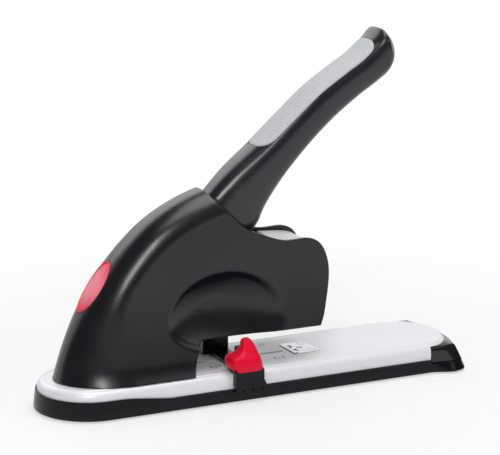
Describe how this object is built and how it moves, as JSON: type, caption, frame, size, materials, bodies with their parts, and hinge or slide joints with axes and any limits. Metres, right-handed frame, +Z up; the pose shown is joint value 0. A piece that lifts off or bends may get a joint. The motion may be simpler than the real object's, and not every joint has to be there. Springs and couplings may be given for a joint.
{
  "type": "stapler",
  "caption": "Heavy-duty desk stapler with a long lever handle, a charcoal housing over a silver deck, and a sliding paper guide with a red release knob.",
  "frame": {"origin": "middle of the footprint, on the surface that the stapler rests on", "axes": "+X to the front where the paper goes in, +Y to the far side, +Z up"},
  "size_m": [0.29, 0.08, 0.225],
  "materials": {
    "black_plastic": "satin",
    "black_gloss": "gloss",
    "charcoal_plastic": "satin",
    "silver_paint": "satin",
    "grey_inlay": "matt",
    "red_plastic": "gloss",
    "steel": "brushed",
    "dark_steel": "blackened",
    "brass": "plain",
    "rubber": "matt"
  },
  "bodies": {
    "base": {"base_skirt": "black_plastic", "deck_cover": "silver_paint", "front_end_cap": "black_gloss", "base_chassis": "dark_steel", "anvil_plate": "steel", "anvil_screw_near": "steel", "anvil_screw_far": "steel", "rubber_foot_1": "rubber", "rubber_foot_2": "rubber", "rubber_foot_3": "rubber", "rubber_foot_4": "rubber", "base_screw_1": "dark_steel", "base_screw_2": "dark_steel", "base_screw_3": "dark_steel", "base_screw_4": "dark_steel", "frame_bolt_1": "dark_steel", "frame_bolt_2": "dark_steel", "frame_bolt_3": "dark_steel", "frame_bolt_4": "dark_steel", "housing_shell_near": "charcoal_plastic", "housing_shell_far": "charcoal_plastic", "rear_badge": "red_plastic", "front_inner_cover": "silver_paint", "frame_plate_near": "steel", "frame_plate_far": "steel", "frame_spacer_1": "steel", "frame_spacer_2": "steel", "frame_spacer_3": "steel", "shell_screw_1": "dark_steel", "shell_screw_2": "dark_steel", "shell_screw_3": "dark_steel", "spring_bridge": "steel", "handle_pivot_pin": "steel", "pivot_bush_near": "brass", "pivot_bush_far": "brass", "magazine_pivot_pin": "steel", "return_spring": "steel"},
    "handle": {"handle_body": "black_plastic", "handle_grip_inlay": "grey_inlay", "handle_core_lever": "steel"},
    "magazine": {"magazine_channel": "steel", "magazine_front_plate": "steel", "staple_rail": "steel", "staple_strip": "steel"},
    "staple_follower": {"follower": "black_plastic", "follower_rod": "steel", "follower_spring": "steel"},
    "driver": {"driver_blade": "steel", "driver_carriage": "dark_steel"},
    "paper_guide": {"guide_slider": "black_plastic", "guide_nut": "steel", "guide_knob_pin": "steel"},
    "release_knob": {"guide_release_knob": "red_plastic"}
  },
  "joints": [
    {"name": "handle_pivot", "type": "hinge", "parent": "base", "child": "handle", "pos_m": [-0.029, 0, 0.0995], "axis": [0, 1, 0], "range_deg": [0, 32], "stiffness_Nm_per_rad": 1.5, "springref_deg": -28.65, "deforming": ["return_spring"]},
    {"name": "magazine_tilt", "type": "hinge", "parent": "base", "child": "magazine", "pos_m": [-0.08, 0, 0.05], "axis": [0, 1, 0], "range_deg": [0, 10.4]},
    {"name": "driver_slide", "type": "slide", "parent": "magazine", "child": "driver", "axis": [0, 0, -1], "range_m": [0, 0.0151]},
    {"name": "follower_slide", "type": "slide", "parent": "magazine", "child": "staple_follower", "axis": [1, 0, 0], "range_m": [-0.045, 0], "stiffness_N_per_m": 30, "springref_m": 0.06},
    {"name": "guide_slide", "type": "slide", "parent": "base", "child": "paper_guide", "axis": [1, 0, 0], "range_m": [-0.017, 0.03]},
    {"name": "guide_release", "type": "hinge", "parent": "paper_guide", "child": "release_knob", "pos_m": [-0.0158, -0.0265, 0.0246], "axis": [-1, 0, 0], "range_deg": [0, 6], "stiffness_Nm_per_rad": 0.05, "springref_deg": -11.46}
  ],
  "couplings": [
    {"joint": "magazine_tilt", "follows": "handle_pivot", "ratio": 0.3219},
    {"joint": "driver_slide", "follows": "handle_pivot", "m_per_rad": 0.026857}
  ]
}
